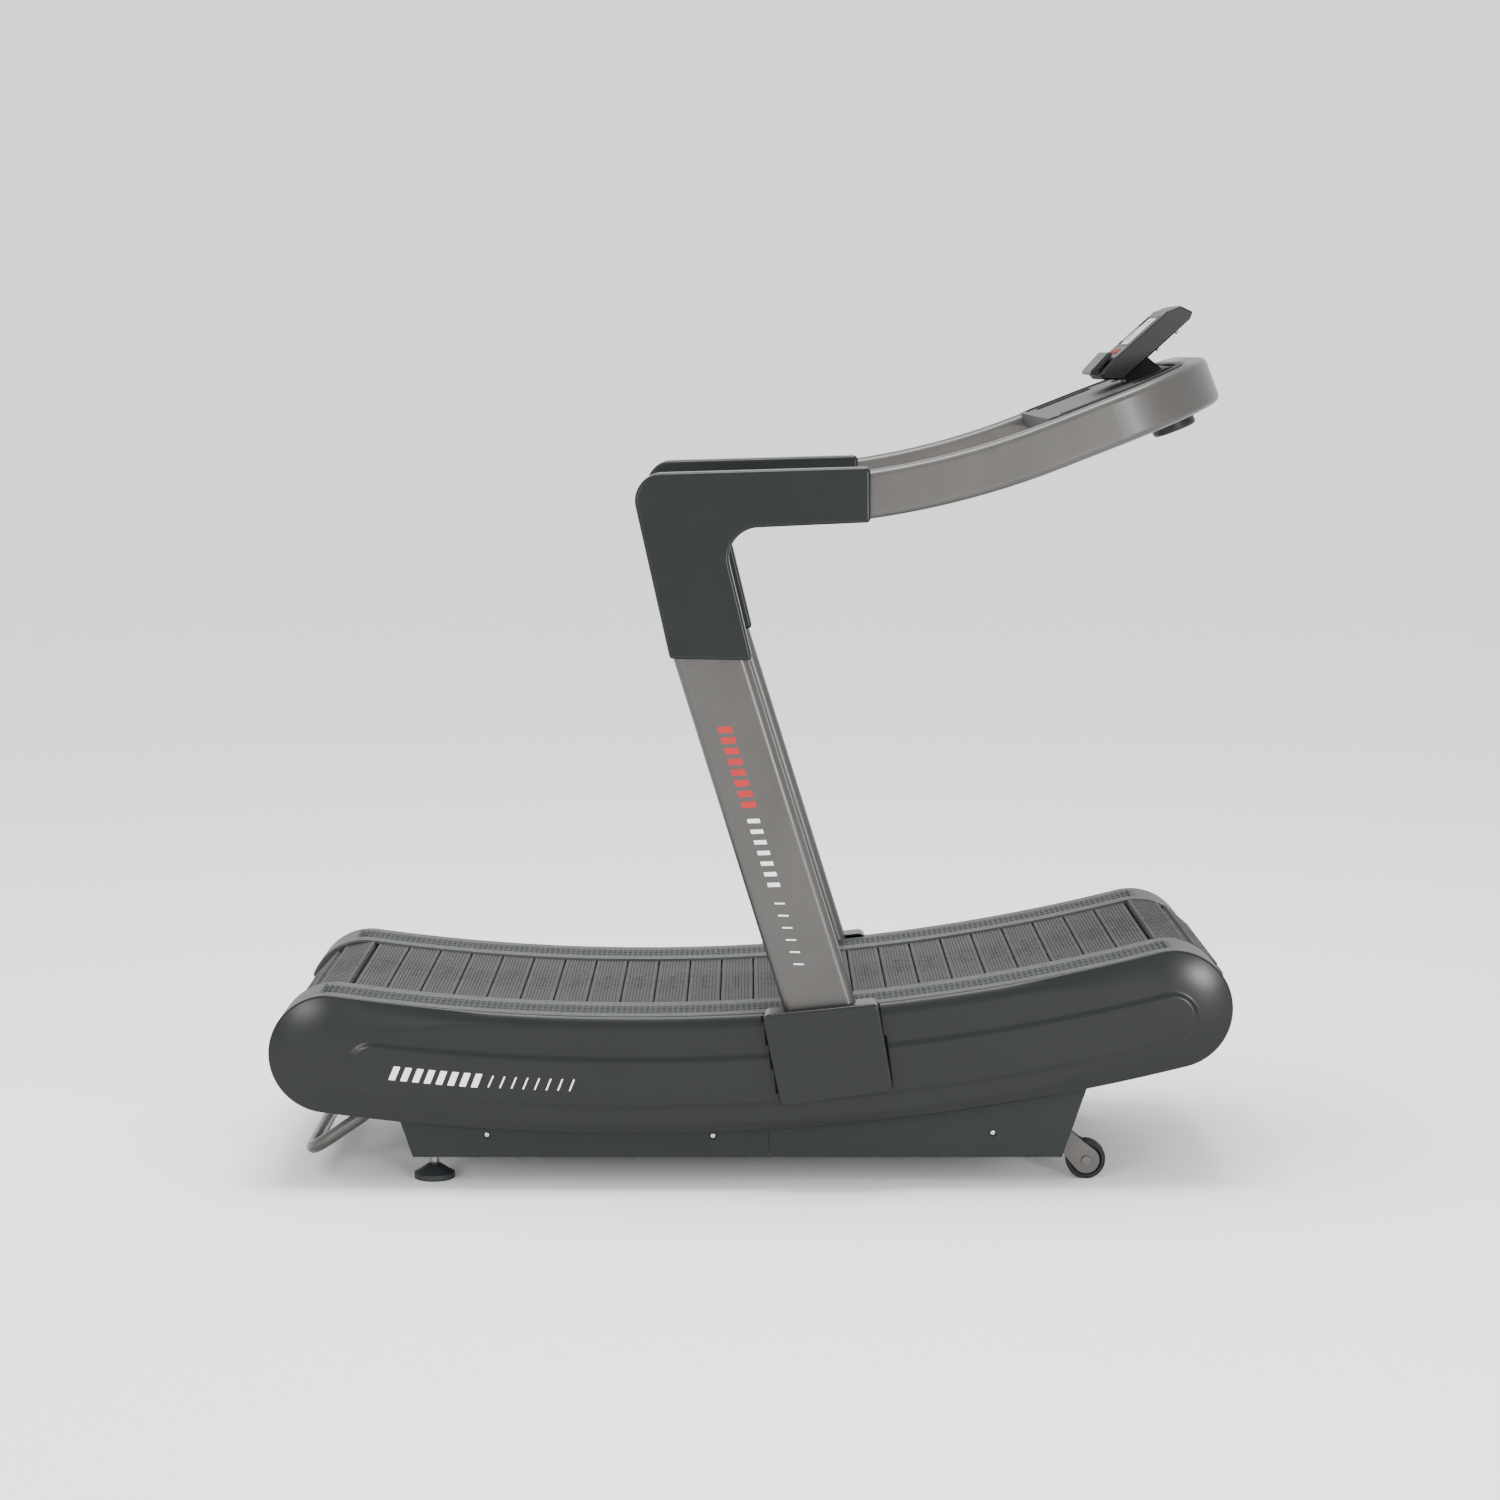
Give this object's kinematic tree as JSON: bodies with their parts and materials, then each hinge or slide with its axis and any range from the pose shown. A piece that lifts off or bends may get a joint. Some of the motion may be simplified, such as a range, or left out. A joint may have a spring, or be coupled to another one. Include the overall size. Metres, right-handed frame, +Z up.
{
  "type": "curved manual treadmill",
  "caption": "Motorless treadmill with a concave slatted running belt, side covers, leaning uprights, a looped handrail with tray and console, levelling feet and transport wheels.",
  "frame": {"origin": "on the floor under the middle of the machine's bounding box", "axes": "+X forwards to the console, +Y to the runner's left, +Z up"},
  "size_m": [1.786, 0.794, 1.6244],
  "materials": {
    "cover_plastic": "satin moulded dark green-grey",
    "grip_plastic": "satin moulded dark green-grey",
    "foot_rail_plastic": "matt grey with an anti-slip pattern",
    "silver_paint": "satin warm silver-grey powder coat",
    "frame_paint": "matt black powder coat",
    "tread_rubber": "ribbed matt rubber",
    "slat_aluminium": "mill extrusion",
    "belt_rubber": "matt",
    "bright_steel": "zinc plated",
    "cast_pulley": "machined casting",
    "wheel_rubber": "matt",
    "foot_rubber": "moulded",
    "tray_plastic": "fine texture",
    "cup_plastic": "fine texture",
    "console_plastic": "fine texture",
    "screen_glass": "glossy",
    "board": "lacquered circuit board",
    "key_rubber": "satin"
  },
  "bodies": {
    "frame": {"axle_bearing_blocks": "cast_pulley", "base_frame": "frame_paint", "belt_tension_screws": "bright_steel", "console_back": "console_plastic", "console_board": "board", "console_bracket": "console_plastic", "console_housing": "console_plastic", "console_screen": "screen_glass", "console_screws": "bright_steel", "cup_holders": "cup_plastic", "deck_crossmembers": "frame_paint", "device_ledge": "console_plastic", "foot_rail_brackets": "frame_paint", "frame_bolts": "bright_steel", "grip_caps": "grip_plastic", "handrail": "silver_paint", "left_boot": "cover_plastic", "left_foot_rail": "foot_rail_plastic", "left_grip_cover": "grip_plastic", "left_side_cover": "cover_plastic", "left_side_plate": "frame_paint", "left_skirt": "cover_plastic", "left_upright": "silver_paint", "one_way_clutch": "bright_steel", "rear_handle": "silver_paint", "right_boot": "cover_plastic", "right_foot_rail": "foot_rail_plastic", "right_grip_cover": "grip_plastic", "right_side_cover": "cover_plastic", "right_side_plate": "frame_paint", "right_skirt": "cover_plastic", "right_upright": "silver_paint", "skirt_screws": "bright_steel", "track_bearing_studs": "bright_steel", "track_bearings": "bright_steel", "tray": "tray_plastic", "upright_mounts": "frame_paint"},
    "top_run": {"top_run_slats": "slat_aluminium", "top_run_treads": "tread_rubber", "top_run_belts": "belt_rubber"},
    "front_drum": {"front_axle": "bright_steel", "front_pulleys": "cast_pulley", "front_wrap_slats": "slat_aluminium", "front_wrap_treads": "tread_rubber", "front_wrap_belts": "belt_rubber"},
    "return_run": {"return_run_slats": "slat_aluminium", "return_run_treads": "tread_rubber", "return_run_belts": "belt_rubber"},
    "rear_drum": {"rear_axle": "bright_steel", "rear_pulleys": "cast_pulley", "rear_wrap_slats": "slat_aluminium", "rear_wrap_treads": "tread_rubber", "rear_wrap_belts": "belt_rubber"},
    "left_transport_wheel": {"left_wheel": "wheel_rubber"},
    "right_transport_wheel": {"right_wheel": "wheel_rubber"},
    "left_levelling_foot": {"left_foot": "foot_rubber"},
    "right_levelling_foot": {"right_foot": "foot_rubber"},
    "start_key": {"start_button": "key_rubber"},
    "mode_key": {"mode_button": "key_rubber"},
    "stop_key": {"stop_button": "key_rubber"}
  },
  "joints": [
    {"name": "belt_run", "type": "hinge", "parent": "frame", "child": "top_run", "pos_m": [-0.2185, 0, 4.2633], "axis": [0, 1, 0], "range_deg": [-0.4558, 0.4558]},
    {"name": "front_drum_turn", "type": "hinge", "parent": "frame", "child": "front_drum", "pos_m": [0.77319, 0, 0.32943], "axis": [0, 1, 0], "range_deg": [-18.27, 18.27]},
    {"name": "rear_drum_turn", "type": "hinge", "parent": "frame", "child": "rear_drum", "pos_m": [-0.76585, 0, 0.24345], "axis": [0, 1, 0], "range_deg": [-18.27, 18.27]},
    {"name": "belt_return", "type": "hinge", "parent": "frame", "child": "return_run", "pos_m": [-0.28674, 0, 5.48486], "axis": [0, 1, 0], "range_deg": [-0.3371, 0.3371]},
    {"name": "left_wheel_spin", "type": "hinge", "parent": "frame", "child": "left_transport_wheel", "pos_m": [0.624, 0.254, 0.037], "axis": [0, 1, 0], "continuous": true},
    {"name": "right_wheel_spin", "type": "hinge", "parent": "frame", "child": "right_transport_wheel", "pos_m": [0.624, -0.254, 0.037], "axis": [0, 1, 0], "continuous": true},
    {"name": "left_foot_level", "type": "slide", "parent": "frame", "child": "left_levelling_foot", "axis": [0, 0, -1], "range_m": [0, 0.02]},
    {"name": "right_foot_level", "type": "slide", "parent": "frame", "child": "right_levelling_foot", "axis": [0, 0, -1], "range_m": [0, 0.02]},
    {"name": "start_press", "type": "slide", "parent": "frame", "child": "start_key", "axis": [0.6673, 0, -0.7448], "range_m": [0, 0.0012], "stiffness_N_per_m": 900, "springref_m": -0.0006},
    {"name": "mode_press", "type": "slide", "parent": "frame", "child": "mode_key", "axis": [0.6673, 0, -0.7448], "range_m": [0, 0.0012], "stiffness_N_per_m": 900, "springref_m": -0.0006},
    {"name": "stop_press", "type": "slide", "parent": "frame", "child": "stop_key", "axis": [0.6673, 0, -0.7448], "range_m": [0, 0.0012], "stiffness_N_per_m": 900, "springref_m": -0.0006}
  ],
  "couplings": [
    {"joint": "front_drum_turn", "follows": "belt_run", "ratio": -40.002},
    {"joint": "rear_drum_turn", "follows": "belt_run", "ratio": -40.002},
    {"joint": "belt_return", "follows": "belt_run", "ratio": -0.73813}
  ]
}
